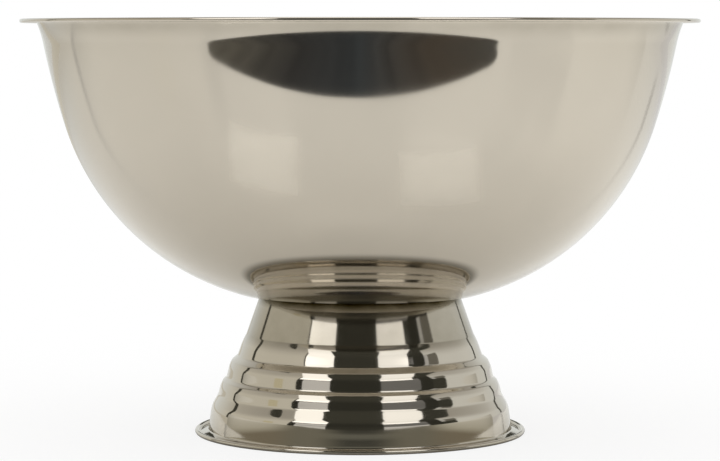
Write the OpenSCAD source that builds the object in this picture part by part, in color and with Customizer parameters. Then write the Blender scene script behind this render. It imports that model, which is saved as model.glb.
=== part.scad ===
// Punch bowl: a spun bowl with a turned-out rim, clamped to a hollow, stepped foot by a stud and nut.
// Millimetres, Z up, origin on the table under the bowl's centre.

/* [Bowl] */
// Radius of the rim's outer edge
rim_r = 190; // [160:1:230]
// Height of the rim's top above the table
height = 233; // [215:1:290]
// Width from the rim's edge in to the wall, below the flare
rim_w = 13.1; // [10:0.1:20]
// Radius of the curl along the rim's edge
rim_curl_r = 1.1; // [1:0.05:2]
// Radius of the bend between the flare and the flat rim, on the underside
rim_bend_r = 1.5; // [1:0.1:3]
// Height of the flare at the mouth, below the rim
flare_h = 12.7; // [8:0.1:18]
// Radius of the flare's arc
flare_arc_r = 59; // [40:1:90]
// Lean of the wall from vertical below the flare, degrees
wall_lean = 11.4; // [6:0.1:14]
// Radius of the wall's long arc
wall_arc_r = 450; // [360:5:700]
// Radius of the belly, between the wall and the bottom
belly_arc_r = 142.8; // [110:0.1:160]
// Radius of the bottom's shallow arc
bottom_arc_r = 248; // [220:1:320]
// Height of the bowl's flat bottom
bowl_base_z = 78.6; // [74:0.2:92]
// Height that the flat bottom cuts off the bottom's arc
flat_h = 9; // [7:0.1:11]
// Thickness of the bowl's sheet
bowl_t = 0.8; // [0.6:0.1:1]

/* [Foot] */
// Radius of the foot's outer edge
foot_r = 93.3; // [90:0.1:115]
// Thickness of the foot's sheet
foot_t = 0.8; // [0.6:0.1:1]
// Radius of the rolled edge
roll_r = 1.35; // [1.2:0.05:2]
// Width of the flat ring that the foot stands on
stand_w = 1; // [0.6:0.1:1.4]
// Height of the flange's top against the lowest wall
flange_z = 2; // [1.6:0.1:2.6]
// Height of the flange's top against the rolled edge
flange_edge_z = 0.95; // [0.9:0.05:1.4]
// Radius of the bend from the flange up into the rolled edge
lip_bend_r = 0.45; // [0.3:0.05:1]
// Radius at the bottom of the lowest wall
plinth_r = 85.6; // [80:0.1:87]
// Height of the lowest wall's lower half
plinth_h = 6.8; // [4:0.2:9]
// Lean of the lowest wall's lower half from vertical, degrees
plinth_lean = 6.3; // [2:0.1:9]
// Height of the lowest wall's upper half
shoulder_h = 6.8; // [4:0.2:9]
// Lean of the lowest wall's upper half from vertical, degrees
shoulder_lean = 9.5; // [9.2:0.1:14]
// Radius of the slight curve between the two halves
shoulder_bend_r = 120; // [60:5:150]
// Radius of the bend from the lowest wall to the flange
plinth_bend_r = 2.5; // [1.5:0.1:4]
// Width of the long, soft step above the lowest wall
soft_step_w = 3.6; // [3:0.1:5]
// Height of the soft step
soft_step_h = 6.4; // [5.5:0.1:8]
// Radius of the bend at the soft step's head
soft_root_r = 7; // [3:0.5:9]
// Radius of the bend at the soft step's foot
soft_nose_r = 12; // [4:0.5:14]
// Height of the tier above the soft step
lower_tier_h = 4.8; // [4.4:0.1:7]
// Height of the tier between the two sharper steps
upper_tier_h = 6.6; // [5:0.1:9]
// Lean of both tiers from vertical, degrees
tier_lean = 13.5; // [10:0.5:18]
// Height of the rounded nose at the head of each tier
nose_h = 3; // [2.6:0.1:4]
// Lean of the nose from vertical, degrees
nose_lean = 26; // [22:0.5:30]
// Radius of the curve between a tier and its nose
nose_bend_r = 13; // [6:0.5:14]
// Width of the lower of the two sharper steps
lower_step_w = 2; // [1.8:0.1:4]
// Height of the lower of the two sharper steps
lower_step_h = 1.7; // [1.5:0.1:3]
// Width of the upper of the two sharper steps
upper_step_w = 3.3; // [2.5:0.1:5]
// Height of the upper of the two sharper steps
upper_step_h = 2.8; // [2:0.1:4]
// Radius of the bends at the two sharper steps
step_bend_r = 2.5; // [1.5:0.1:3]
// Lean of the stem from vertical, degrees
stem_lean = 19.5; // [15:0.5:24]
// Height of the stem below its crease
stem_h = 7.5; // [6:0.1:12]
// Width of the crease
crease_w = 2.3; // [1.8:0.1:3]
// Height of the crease
crease_h = 4.4; // [4:0.1:6]
// Radius of the bend at the crease's head
crease_root_r = 5; // [2:0.5:6]
// Radius of the bend at the crease's foot
crease_nose_r = 35; // [10:1:40]
// Radius of the bend at the foot's top edge
top_bend_r = 2; // [1.2:0.1:4]

/* [Fixing] */
// Thread radius of the stud
stud_r = 3; // [2.5:0.5:4]
// Length of the stud, with its flange
stud_len = 13; // [12:0.5:18]
// Radius of the stud's welded flange
stud_flange_r = 3.8; // [3.4:0.1:5]
// Outer radius of the backing washer
washer_r = 15; // [9:0.5:25]
// Thickness of the backing washer
washer_t = 1.5; // [1:0.1:3]
// Outer radius of the spring washer
spring_r = 5.9; // [4.8:0.1:7.5]
// Thickness of the spring washer
spring_t = 1.6; // [1.2:0.1:2]
// Width of the slit in the spring washer
slit_w = 0.8; // [0.5:0.1:1.5]
// Width of the nut across its flats
nut_af = 10; // [8:0.5:13]
// Height of the nut
nut_h = 5; // [4:0.1:6.5]
// Gap between surfaces that are clamped or welded together
seat_gap = 0.08; // [0.05:0.01:0.15]
// Gap all round between the stud's thread and the nut
thread_gap = 0.05; // [0.03:0.01:0.1]
// Gap all round the stud in the foot and in the washers
stud_gap = 0.4; // [0.2:0.05:0.8]

/* [Hidden] */
$fn = 96;

// Points along an arc about a centre, from one angle to another.
function arc(centre, r, from, to, steps) =
    [for (i = [0:steps]) let (a = from + (to - from) * i / steps) centre + r * [cos(a), sin(a)]];
function reverse(list) = [for (i = [len(list) - 1:-1:0]) list[i]];

// A sheet's profile is a path of corners, each with its bend radius. The sheet lies to the path's right.
function side(path, i) = (path[i + 1] - path[i]) / norm(path[i + 1] - path[i]);
function right(path, i) = [side(path, i).y, -side(path, i).x];
function turn(path, i) = atan2(cross(side(path, i - 1), side(path, i)), side(path, i - 1) * side(path, i));
function is_end(path, i) = i == 0 || i == len(path) - 1;
function bend(path, i, r) =
    let (s = sign(turn(path, i)), run = r * tan(abs(turn(path, i)) / 2))
    let (start = path[i] - run * side(path, i - 1))
    let (centre = start - s * r * right(path, i - 1), from = atan2(start.y - centre.y, start.x - centre.x))
    arc(centre, r, from, from + turn(path, i), 6);
function bent(path, radii) =
    [for (i = [0:len(path) - 1])
        each is_end(path, i) || radii[i] == 0 ? [path[i]] : bend(path, i, radii[i])];
function inner_corner(path, i, t) =
    i == 0 ? path[i] + t * right(path, i)
    : i == len(path) - 1 ? path[i] + t * right(path, i - 1)
    : path[i] + t * (right(path, i - 1) + right(path, i)) / (1 + right(path, i - 1) * right(path, i));
function inner_path(path, t) = [for (i = [0:len(path) - 1]) inner_corner(path, i, t)];
function inner_radii(path, radii, t) =
    [for (i = [0:len(path) - 1])
        is_end(path, i) || radii[i] == 0 ? 0 : radii[i] + sign(turn(path, i)) * t];

// Bowl: bottom, belly, wall and flare are arcs that meet without a corner, the first centred on the axis.
// A flat, where the foot is seated, cuts off the lowest part.
rim_under_z = height - bowl_t;
flare_low = [rim_r - rim_w, rim_under_z - flare_h];
wall_c = flare_low - wall_arc_r * [cos(wall_lean), -sin(wall_lean)];
flare_c = flare_low + flare_arc_r * [cos(wall_lean), -sin(wall_lean)];
bottom_c = [0, bowl_base_z - flat_h + bottom_arc_r];
centres = bottom_c - wall_c;
wall_to_belly = wall_arc_r - belly_arc_r;
bottom_to_belly = bottom_arc_r - belly_arc_r;
along = (wall_to_belly ^ 2 - bottom_to_belly ^ 2 + centres * centres) / (2 * norm(centres));
across = sqrt(wall_to_belly ^ 2 - along ^ 2);
belly_c = wall_c + (along * centres + across * [centres.y, -centres.x]) / norm(centres);
belly_top_a = atan2(belly_c.y - wall_c.y, belly_c.x - wall_c.x);
belly_low_a = atan2(belly_c.y - bottom_c.y, belly_c.x - bottom_c.x);
rim_bend_z = rim_under_z - rim_bend_r;
rim_bend_c = [flare_c.x - sqrt((flare_arc_r - rim_bend_r) ^ 2 - (rim_bend_z - flare_c.y) ^ 2), rim_bend_z];
flare_top_a = atan2(rim_bend_c.y - flare_c.y, rim_bend_c.x - flare_c.x);
rim_curl_c = [rim_r - rim_curl_r, height - rim_curl_r];
rim_curl_end = -165;

// One face of the bowl's sheet, from the axis to the rim: the underside at 0, the inside at bowl_t.
function bowl_arcs(t) = concat(
    arc(bottom_c, bottom_arc_r - t, -90, belly_low_a, 24),
    arc(belly_c, belly_arc_r - t, belly_low_a, belly_top_a, 24),
    arc(wall_c, wall_arc_r - t, belly_top_a, -wall_lean, 8),
    arc(flare_c, flare_arc_r + t, 180 - wall_lean, flare_top_a, 5),
    arc(rim_bend_c, rim_bend_r + t, flare_top_a, 90, 6),
    arc(rim_curl_c, rim_curl_r - bowl_t + t, 90, rim_curl_end, 16));
function below(path, z) = len([for (p = path) if (p.y <= z) p]);
function cut_at(path, i, z) = path[i - 1] + (path[i] - path[i - 1]) * (z - path[i - 1].y) / (path[i].y - path[i - 1].y);
function bowl_face(t) =
    let (path = bowl_arcs(t), z = bowl_base_z + t, first = below(path, z))
    concat([[0, z], cut_at(path, first, z)], [for (i = [first:len(path) - 1]) path[i]]);

// Foot: corners from the flange up to the flat top, which lies under the bowl's flat bottom.
function climb(corner, h, lean) = corner + h * [-tan(lean), 1];
plinth_low = [plinth_r, flange_z];
plinth_mid = climb(plinth_low, plinth_h, plinth_lean);
plinth_top = climb(plinth_mid, shoulder_h, shoulder_lean);
lower_tier_low = plinth_top + [-soft_step_w, soft_step_h];
lower_nose = climb(lower_tier_low, lower_tier_h, tier_lean);
lower_edge = climb(lower_nose, nose_h, nose_lean);
upper_tier_low = lower_edge + [-lower_step_w, lower_step_h];
upper_nose = climb(upper_tier_low, upper_tier_h, tier_lean);
upper_edge = climb(upper_nose, nose_h, nose_lean);
stem_low = upper_edge + [-upper_step_w, upper_step_h];
crease_low = climb(stem_low, stem_h, stem_lean);
crease_top = crease_low + [-crease_w, crease_h];
web_z = bowl_base_z - seat_gap;
stem_top = climb(crease_top, web_z - crease_top.y, stem_lean);
web_hole_r = stud_flange_r + stud_gap;

// The rolled edge is cut flat where it stands on the table, and the flange falls towards it.
roll_c = [foot_r - roll_r, sqrt(roll_r ^ 2 - (stand_w / 2) ^ 2)];
stand_a = asin(stand_w / 2 / roll_r);
lip_z = flange_edge_z + lip_bend_r;
lip_c = [roll_c.x - sqrt((roll_r + lip_bend_r) ^ 2 - (lip_z - roll_c.y) ^ 2), lip_z];
lip_a = atan2(lip_c.y - roll_c.y, lip_c.x - roll_c.x);
flange_a = -90 - atan2(flange_z - flange_edge_z, lip_c.x - plinth_r);
roll_end = -115;

foot_path = [
    [web_hole_r, web_z], stem_top, crease_top, crease_low, stem_low,
    upper_edge, upper_nose, upper_tier_low, lower_edge, lower_nose, lower_tier_low,
    plinth_top, plinth_mid, plinth_low, lip_c + lip_bend_r * [cos(flange_a), sin(flange_a)]
];
foot_radii = [
    0, top_bend_r, crease_root_r, crease_nose_r, step_bend_r,
    step_bend_r, nose_bend_r, step_bend_r, step_bend_r, nose_bend_r, soft_root_r,
    soft_nose_r, shoulder_bend_r, plinth_bend_r, 0
];
function without_last(list) = [for (i = [0:len(list) - 2]) list[i]];
foot_outside = concat(
    without_last(bent(foot_path, foot_radii)),
    arc(lip_c, lip_bend_r, flange_a, lip_a - 180, 5),
    arc(roll_c, roll_r, lip_a, stand_a - 90, 14),
    [roll_c + roll_r * [cos(-90 - stand_a), sin(-90 - stand_a)]],
    [roll_c + roll_r * [cos(roll_end), sin(roll_end)]]);
foot_inside = concat(
    without_last(bent(inner_path(foot_path, foot_t), inner_radii(foot_path, foot_radii, foot_t))),
    arc(lip_c, lip_bend_r + foot_t, flange_a, lip_a - 180, 5),
    arc(roll_c, roll_r - foot_t, lip_a, roll_end, 14));

// Fixing: the stack of heights from the bowl's underside down.
stud_top = bowl_base_z - seat_gap;
stud_flange_t = foot_t - seat_gap;
web_low = inner_path(foot_path, foot_t)[0].y;
washer_z = web_low - seat_gap - washer_t;
spring_z = washer_z - seat_gap - spring_t;
nut_z = spring_z - seat_gap - nut_h;
nut_bore_r = stud_r + thread_gap;
nut_corner_r = nut_af / 2 / cos(30);
nut_bevel = nut_corner_r - nut_af / 2;
stud_bevel = 0.6;

module ring(outer, inner, h) {
    rotate_extrude()
        translate([inner, 0])
            square([outer - inner, h]);
}

module bowl() {
    color([0.74, 0.72, 0.67])
        rotate_extrude()
            polygon(concat(bowl_face(0), reverse(bowl_face(bowl_t))));
}

module foot() {
    color([0.72, 0.70, 0.65])
        rotate_extrude()
            polygon(concat(foot_outside, reverse(foot_inside)));
}

module stud() {
    color([0.60, 0.60, 0.60])
        translate([0, 0, stud_top - stud_len])
            rotate_extrude()
                polygon([
                    [0, 0],
                    [stud_r - stud_bevel, 0],
                    [stud_r, stud_bevel],
                    [stud_r, stud_len - stud_flange_t],
                    [stud_flange_r, stud_len - stud_flange_t],
                    [stud_flange_r, stud_len],
                    [0, stud_len]
                ]);
}

module backing_washer() {
    color([0.66, 0.66, 0.65])
        translate([0, 0, washer_z])
            ring(washer_r, stud_r + stud_gap, washer_t);
}

module spring_washer() {
    color([0.50, 0.50, 0.50])
        translate([0, 0, spring_z])
            difference() {
                ring(spring_r, stud_r + stud_gap, spring_t);
                translate([spring_r / 2, 0, spring_t / 2])
                    rotate([25, 0, 0])
                        cube([spring_r + 2, slit_w, 3 * spring_t], center = true);
            }
}

module nut() {
    color([0.62, 0.62, 0.61])
        translate([0, 0, nut_z])
            difference() {
                intersection() {
                    cylinder(r = nut_corner_r, h = nut_h, $fn = 6);
                    rotate_extrude()
                        polygon([
                            [0, 0],
                            [nut_af / 2, 0],
                            [nut_corner_r + nut_bevel, nut_bevel],
                            [nut_corner_r + nut_bevel, nut_h - nut_bevel],
                            [nut_af / 2, nut_h],
                            [0, nut_h]
                        ]);
                }
                translate([0, 0, -1])
                    cylinder(r = nut_bore_r, h = nut_h + 2);
            }
}

bowl();
foot();
stud();
backing_washer();
spring_washer();
nut();
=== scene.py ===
# %% [markdown]
# # A polished punch bowl on a stepped foot
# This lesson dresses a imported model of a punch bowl: a spun steel bowl with a turned-out rim, clamped to
# a hollow, stepped foot. The frame gives every piece its place and its size. Blender adds what the frame
# lacks: smooth mirror surfaces, threads, stamped edges and the finish of each metal.

# %% Load the frame
import math

import bmesh
import bpy
from mathutils import Matrix, Vector
from mathutils.geometry import intersect_sphere_sphere_2d


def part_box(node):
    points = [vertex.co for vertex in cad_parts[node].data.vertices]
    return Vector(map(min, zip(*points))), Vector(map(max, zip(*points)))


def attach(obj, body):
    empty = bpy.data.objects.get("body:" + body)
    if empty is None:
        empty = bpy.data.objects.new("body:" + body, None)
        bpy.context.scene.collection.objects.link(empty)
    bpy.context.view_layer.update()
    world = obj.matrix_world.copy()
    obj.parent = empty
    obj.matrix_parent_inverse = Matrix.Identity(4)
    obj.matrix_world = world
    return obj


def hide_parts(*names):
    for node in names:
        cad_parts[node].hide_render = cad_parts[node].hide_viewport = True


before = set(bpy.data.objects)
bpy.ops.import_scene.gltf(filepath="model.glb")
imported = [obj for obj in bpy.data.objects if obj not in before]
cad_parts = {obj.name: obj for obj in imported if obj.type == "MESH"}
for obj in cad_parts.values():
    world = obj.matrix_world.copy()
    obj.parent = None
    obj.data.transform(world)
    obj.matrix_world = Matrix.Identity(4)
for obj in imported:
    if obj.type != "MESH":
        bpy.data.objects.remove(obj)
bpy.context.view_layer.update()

MM = 0.001
print("frame nodes:", sorted(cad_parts))

# %% [markdown]
# ## Camera
# The picture was taken with a long lens, a little above the middle of the bowl and a little below its
# rim, so the rim is seen almost edge on. A camera can be matched by eye, but height, distance and tilt
# then trade off against each other. Here all three come from one fit to the ellipses of the rim and the
# base. The camera stands on the object's centre line.

# %% Camera
CAMERA_BACK = 1.5883
CAMERA_HEIGHT = 0.2245
CAMERA_TILT = math.radians(3.98)
LENS = 141.05
SENSOR = 36.0
NEAREST = 0.01

camera_data = bpy.data.cameras.new("camera")
camera_data.lens = LENS
camera_data.sensor_width = SENSOR
camera_data.sensor_fit = "HORIZONTAL"
camera_data.clip_start = NEAREST
camera = bpy.data.objects.new("camera", camera_data)
camera.location = (0, -CAMERA_BACK, CAMERA_HEIGHT)
camera.rotation_euler = (math.pi / 2 - CAMERA_TILT, 0, 0)
bpy.context.scene.collection.objects.link(camera)
bpy.context.scene.camera = camera
bpy.context.scene.view_settings.view_transform = "Standard"
print("camera at", tuple(camera.location), "lens", LENS)

# %% [markdown]
# ## Node helpers
# Every finish below is a small graph of nodes. One helper adds a node, sets its fields and feeds its
# sockets, so that a graph reads from top to bottom. The others wrap the nodes that come up again and
# again, and keep each graph to the few lines that matter.

# %% Node helpers
def feed(tree, socket, value):
    """Link a socket to another node's output, or set it to a plain value."""
    if isinstance(value, bpy.types.NodeSocket):
        tree.links.new(value, socket)
    else:
        socket.default_value = value


def add_node(tree, kind, fields=None, **sockets):
    """Add a node, set its fields, and feed each socket that is named."""
    node = tree.nodes.new(kind)
    for field, value in (fields or {}).items():
        setattr(node, field, value)
    for name, value in sockets.items():
        socket = next(s for s in node.inputs if s.enabled and s.name.replace(" ", "_").lower() == name)
        feed(tree, socket, value)
    return node


def calculate(tree, kind, operation, *values):
    """The result of a math node whose sockets are fed in order."""
    node = add_node(tree, kind, {"operation": operation})
    for socket, value in zip(node.inputs, values):
        feed(tree, socket, value)
    return next(s for s in node.outputs if s.enabled)


def map_range(tree, value, low, high, to_low=0.0, to_high=1.0, ease="LINEAR"):
    """Map one range of a value onto another."""
    node = add_node(tree, "ShaderNodeMapRange", {"interpolation_type": ease}, value=value,
                    from_min=low, from_max=high, to_min=to_low, to_max=to_high)
    return node.outputs["Result"]


def mix_colour(tree, factor, first, second, clamp=True):
    """Mix two colours; without the clamp the factor may go past the second one."""
    node = add_node(tree, "ShaderNodeMix", {"data_type": "RGBA", "clamp_factor": clamp},
                    factor=factor, a=first, b=second)
    return node.outputs[2]


def mix_shader(tree, factor, first, second):
    """Mix two shaders."""
    node = add_node(tree, "ShaderNodeMixShader", fac=factor)
    tree.links.new(first.outputs[0], node.inputs[1])
    tree.links.new(second.outputs[0], node.inputs[2])
    return node


def object_place(tree):
    """The object coordinates as a vector, and its three parts by name."""
    place = add_node(tree, "ShaderNodeTexCoord").outputs["Object"]
    return place, add_node(tree, "ShaderNodeSeparateXYZ", vector=place).outputs


def new_material(name):
    """A material with an empty graph, and that graph."""
    material = bpy.data.materials.new(name)
    material.use_nodes = True
    material.node_tree.nodes.clear()
    return material, material.node_tree


# %% [markdown]
# ## Stage
# Polished steel has no colour of its own to speak of: it shows the room. So the stage is built for what
# the steel sees. A picture of a room, wrapped round the scene, would be the usual way. A few tones and
# cards were chosen instead, because each reflection can then be moved by itself. The world comes first:
# white to the camera and as light, and in reflections a soft room with a warmer left, a cooler right and
# a dim ceiling.

# %% World
WHITE = (1, 1, 1, 1)
ROOM_LEFT = (0.76, 0.74, 0.66, 1)
ROOM_RIGHT = (0.86, 0.87, 0.84, 1)
ROOM_BACK = (0.80, 0.82, 0.80, 1)
ROOM_ABOVE = (0.47, 0.45, 0.41, 1)
SIDE_SPAN = 0.7
CEILING_TILT = (0, 0.23, 1)
CEILING_START = 0.36
CEILING_FULL = 0.60
BACK_START = 0.55
BACK_FULL = 0.90

world = bpy.data.worlds.new("studio")
bpy.context.scene.world = world
world.use_nodes = True
tree = world.node_tree
tree.nodes.clear()
path = add_node(tree, "ShaderNodeLightPath").outputs
direction = add_node(tree, "ShaderNodeTexCoord").outputs["Generated"]
along = add_node(tree, "ShaderNodeSeparateXYZ", vector=direction).outputs
room = mix_colour(tree, map_range(tree, along["X"], -SIDE_SPAN, SIDE_SPAN), ROOM_LEFT, ROOM_RIGHT)
slope = calculate(tree, "ShaderNodeVectorMath", "DOT_PRODUCT", direction, CEILING_TILT)
room = mix_colour(tree, map_range(tree, slope, CEILING_START, CEILING_FULL), room, ROOM_ABOVE)
room = mix_colour(tree, map_range(tree, along["Y"], BACK_START, BACK_FULL), room, ROOM_BACK)
seen = mix_colour(tree, path["Is Glossy Ray"], WHITE, room)
background = add_node(tree, "ShaderNodeBackground", color=seen, strength=1.0)
add_node(tree, "ShaderNodeOutputWorld", surface=background.outputs["Background"])
print("world: white to the camera and as light, a soft room in reflections")

# %% [markdown]
# ### Floor
# The object stands on a white table. To the camera it is plain white with a faint shadow round the foot,
# and further out the shadow fades away. In reflections it is a pale, slightly glossy table, which turns
# grey far behind the object and dark right beside the foot, where little light gets in. One plane with
# two paints does both, and the kind of ray chooses between them.

# %% Floor
FLOOR_SIZE = 4.0
FLOOR_WHITE = (0.95, 0.95, 0.93, 1)
FLOOR_BACK = (0.63, 0.63, 0.61, 1)
FLOOR_NEAR = (0.20, 0.19, 0.16, 1)
FLOOR_ROUGHNESS = 0.2
GREY_START = 0.25
GREY_FULL = 1.3
CONTACT_IN = 0.093
CONTACT_OUT = 0.106
LIFT_SPAN = 0.35
LIFT_LEFT = 0.03
LIFT_RIGHT = 0.13
SHADOW_NEAR = 0.15
SHADOW_FAR = 0.60
SHADOW_LIFT = 0.80

floor_paint, tree = new_material("floor_white")
path = add_node(tree, "ShaderNodeLightPath").outputs
place, along = object_place(tree)
reach = calculate(tree, "ShaderNodeVectorMath", "LENGTH", place)
cover = mix_colour(tree, map_range(tree, along["Y"], GREY_START, GREY_FULL), FLOOR_WHITE, FLOOR_BACK)
beside = map_range(tree, reach, CONTACT_IN, CONTACT_OUT, ease="SMOOTHSTEP")
cover = mix_colour(tree, beside, FLOOR_NEAR, cover)
# painted light: in reflections the table glows faintly, less on the left and more on the right
lift = map_range(tree, along["X"], -LIFT_SPAN, LIFT_SPAN, LIFT_LEFT, LIFT_RIGHT)
table = add_node(tree, "ShaderNodeBsdfPrincipled", base_color=cover, roughness=FLOOR_ROUGHNESS,
                 emission_color=FLOOR_WHITE, emission_strength=lift)
matt = add_node(tree, "ShaderNodeBsdfDiffuse", color=WHITE)
plain = add_node(tree, "ShaderNodeEmission", color=WHITE, strength=1.0)
fade = map_range(tree, reach, SHADOW_NEAR, SHADOW_FAR, SHADOW_LIFT, ease="SMOOTHSTEP")
sight = mix_shader(tree, fade, matt, plain)
either = mix_shader(tree, path["Is Camera Ray"], table, sight)
add_node(tree, "ShaderNodeOutputMaterial", surface=either.outputs[0])


def stage_mesh(bm, name, material):
    """Turn a bmesh into an object that carries one material."""
    mesh = bpy.data.meshes.new(name)
    bm.to_mesh(mesh)
    bm.free()
    mesh.materials.append(material)
    item = bpy.data.objects.new(name, mesh)
    bpy.context.scene.collection.objects.link(item)
    return item


bm = bmesh.new()
bmesh.ops.create_grid(bm, x_segments=1, y_segments=1, size=FLOOR_SIZE)
stage_mesh(bm, "floor", floor_paint)
print("floor: a white square,", 2 * FLOOR_SIZE, "m wide")

# %% [markdown]
# ### Cards
# A card that serves reflections only is hidden from the camera and casts no shadow. It can then stand
# where a studio would hang cloth or a lamp, and the picture stays white around the object. Most cards are
# walls curved round the object, each given by two angles, in degrees from the camera's side, and by two
# heights.

# %% Card helpers
CARD_STEPS = 24


def stage_card(bm, name, material):
    """Add a card that only mirrors see: it is not in the picture, and gives no light or shadow."""
    card = stage_mesh(bm, name, material)
    card.visible_camera = False
    card.visible_diffuse = False
    card.visible_shadow = False
    card.visible_transmission = False
    print("card:", card.name, "with", len(card.data.polygons), "faces")


def curved_wall(name, material, angles, heights, radius):
    """A wall for reflections: an upright edge spun part of the way round the object."""
    start, end = angles
    bm = bmesh.new()
    ends = [bm.verts.new((0, -radius, height)) for height in heights]
    edge = bm.edges.new(ends)
    bmesh.ops.rotate(bm, verts=bm.verts, matrix=Matrix.Rotation(math.radians(start), 3, "Z"))
    bmesh.ops.spin(bm, geom=ends + [edge], axis=(0, 0, 1), steps=CARD_STEPS,
                   angle=math.radians(end - start), use_merge=False)
    stage_card(bm, name, material)


# %% [markdown]
# Cards are painted with light, so that they keep their tone in any light. Cloth and walls are never quite
# even, so one paint changes its glow with height, through a ramp of a few tones.

# %% Card paints
def emit(tree, colour, strength=1.0):
    """End a graph in a plain glow."""
    light = add_node(tree, "ShaderNodeEmission", color=colour, strength=strength)
    add_node(tree, "ShaderNodeOutputMaterial", surface=light.outputs[0])


def glow(name, colour, strength):
    """A card paint of one even tone."""
    material, tree = new_material(name)
    emit(tree, colour, strength)
    return material


def tone_ramp(tree, share, stops):
    """A ramp of colours: pairs of a share, from 0 to 1, and a colour."""
    node = add_node(tree, "ShaderNodeValToRGB", fac=share)
    marks = node.color_ramp.elements
    for mark, (level, tone) in zip((marks[0], marks[1]), (stops[0], stops[-1])):
        mark.position = level
        mark.color = tone
    for level, tone in stops[1:-1]:
        marks.new(level).color = tone
    return node.outputs["Color"]


def shaded_glow(name, colour, stops):
    """A card paint whose glow changes with height: pairs of height in metres and strength."""
    material, tree = new_material(name)
    height = object_place(tree)[1]["Z"]
    top = stops[-1][0]
    tones = [(level / top, (strength, strength, strength, 1)) for level, strength in stops]
    emit(tree, colour, tone_ramp(tree, map_range(tree, height, 0.0, top), tones))
    return material


# %% [markdown]
# ### Dark room in front
# On the camera's side the table ends, and the room behind its edge is dark. The foot shows that room's
# wall as the dark middle of each step. A black card would look cut out, so the wall has a faint olive
# tone that changes with height, with a paler band low down.

# %% Dark room in front
OLIVE = (1.0, 1.0, 0.80, 1)
FRONT_RADIUS = 2.0
FRONT_TONES = [
    (0.0, 0.12), (0.19, 0.07), (0.24, 0.17), (0.285, 0.19), (0.33, 0.09),
    (0.37, 0.05), (0.60, 0.04), (0.95, 0.04), (1.5, 0.06), (3.6, 0.07),
]

front_cloth = shaded_glow("front_room", OLIVE, FRONT_TONES)
curved_wall("front_wall", front_cloth, angles=(-57, 67), heights=(0.0, 3.6), radius=FRONT_RADIUS)

# %% [markdown]
# The upper wall of the bowl leans out, so it looks down at the floor beyond the table's edge and shows it
# as a dark lens under the rim. A plain black would look painted on. A few dark tones from left to right,
# with faint streaks in them, stand for a room in which nothing can be made out.

# %% Floor of the dark room
NOISE_LOW = 0.3
NOISE_HIGH = 0.7


def noise(tree, vector, scale, detail):
    """A noise texture's value."""
    return add_node(tree, "ShaderNodeTexNoise", vector=vector, scale=scale, detail=detail).outputs["Fac"]


def spread(tree, value, low, high):
    """Map the middle of a noise, where nearly all of it lies, onto a range."""
    return map_range(tree, value, NOISE_LOW, NOISE_HIGH, low, high)


GAP_SPAN = 0.5
GAP_TONES = [
    (0.0, (0.13, 0.125, 0.11, 1)),
    (0.30, (0.05, 0.051, 0.053, 1)),
    (0.50, (0.05, 0.058, 0.066, 1)),
    (0.75, (0.09, 0.077, 0.064, 1)),
    (1.0, (0.09, 0.09, 0.085, 1)),
]
GAP_STREAKS = (25, 0.4, 0)
STREAK_DEPTH = (0.8, 1.2)

gap_paint, tree = new_material("front_floor")
place, along = object_place(tree)
tone = tone_ramp(tree, map_range(tree, along["X"], -GAP_SPAN, GAP_SPAN), GAP_TONES)
streak = calculate(tree, "ShaderNodeVectorMath", "MULTIPLY", place, GAP_STREAKS)
emit(tree, tone, spread(tree, noise(tree, streak, scale=1.0, detail=2.0), *STREAK_DEPTH))
print("paint for the floor of the dark room:", gap_paint.name)

# %% [markdown]
# The lens has a bowed lower line and rounded tips, and the strip of floor gets its outline from that: its
# near edge comes closer towards its two ends, and a bevel rounds its corners. A wider strip goes on
# behind it.

# %% Floor strips of the dark room
TABLE_EDGE = 0.489
GAP_DEPTH = 0.86
GAP_END = 2.09
GAP_MIDDLE = 0.03
GAP_LEVEL = 0.5 * MM


def floor_gap(name, left, right, near, far, bow, corner):
    """A dark strip of floor in front of the object: its near edge bows closer towards its rounded ends."""
    middle = -(near + far) / 2
    bm = bmesh.new()
    bmesh.ops.create_grid(bm, x_segments=8, y_segments=1, size=0.5)
    bmesh.ops.scale(bm, verts=bm.verts, vec=(right - left, far - near, 1))
    bmesh.ops.translate(bm, verts=bm.verts, vec=((left + right) / 2, middle, GAP_LEVEL))
    edge = [v for v in bm.verts if v.co.y > middle]
    for vert in edge:
        vert.co.y += bow * ((vert.co.x - GAP_MIDDLE) / GAP_SPAN) ** 2
    ends = [v for v in edge if len(v.link_edges) == 2]
    bmesh.ops.bevel(bm, geom=ends, offset=corner, segments=6, profile=0.5, affect="VERTICES", material=-1)
    stage_card(bm, name, gap_paint)


floor_gap("front_gap", left=-0.595, right=0.52, near=TABLE_EDGE, far=GAP_DEPTH, bow=0.032, corner=0.11)
floor_gap("front_gap_far", left=-1.5, right=1.5, near=GAP_DEPTH, far=GAP_END, bow=0.0, corner=0.01)

# %% [markdown]
# ### Patches of light on the table
# Two pale patches on the front of the bowl are places of the table that get a little more light. A lamp
# would light everything else as well. Thin sheets that add a faint glow to what is behind them change the
# table's reflection only, and four of them, each a little larger than the last, make a soft edge.

# %% Patches of light on the table
PATCH_GLOW = 0.018
PATCH_LEVEL = 0.6 * MM
PATCH_STEP = 0.1 * MM
PATCH_GROWTH = (-0.02, -0.01, 0.0, 0.01)
LEFT_PATCH = [Vector(p) for p in ((-0.31, -0.33), (-0.13, -0.37), (-0.08, -0.20), (-0.19, -0.18))]
RIGHT_PATCH = [Vector(p) for p in ((0.07, -0.32), (0.23, -0.28), (0.15, -0.15), (0.05, -0.19))]

sun_patch, tree = new_material("floor_patch")
clear = add_node(tree, "ShaderNodeBsdfTransparent")
light = add_node(tree, "ShaderNodeEmission", color=WHITE, strength=PATCH_GLOW)
both = add_node(tree, "ShaderNodeAddShader")
tree.links.new(clear.outputs[0], both.inputs[0])
tree.links.new(light.outputs[0], both.inputs[1])
add_node(tree, "ShaderNodeOutputMaterial", surface=both.outputs[0])


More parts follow.
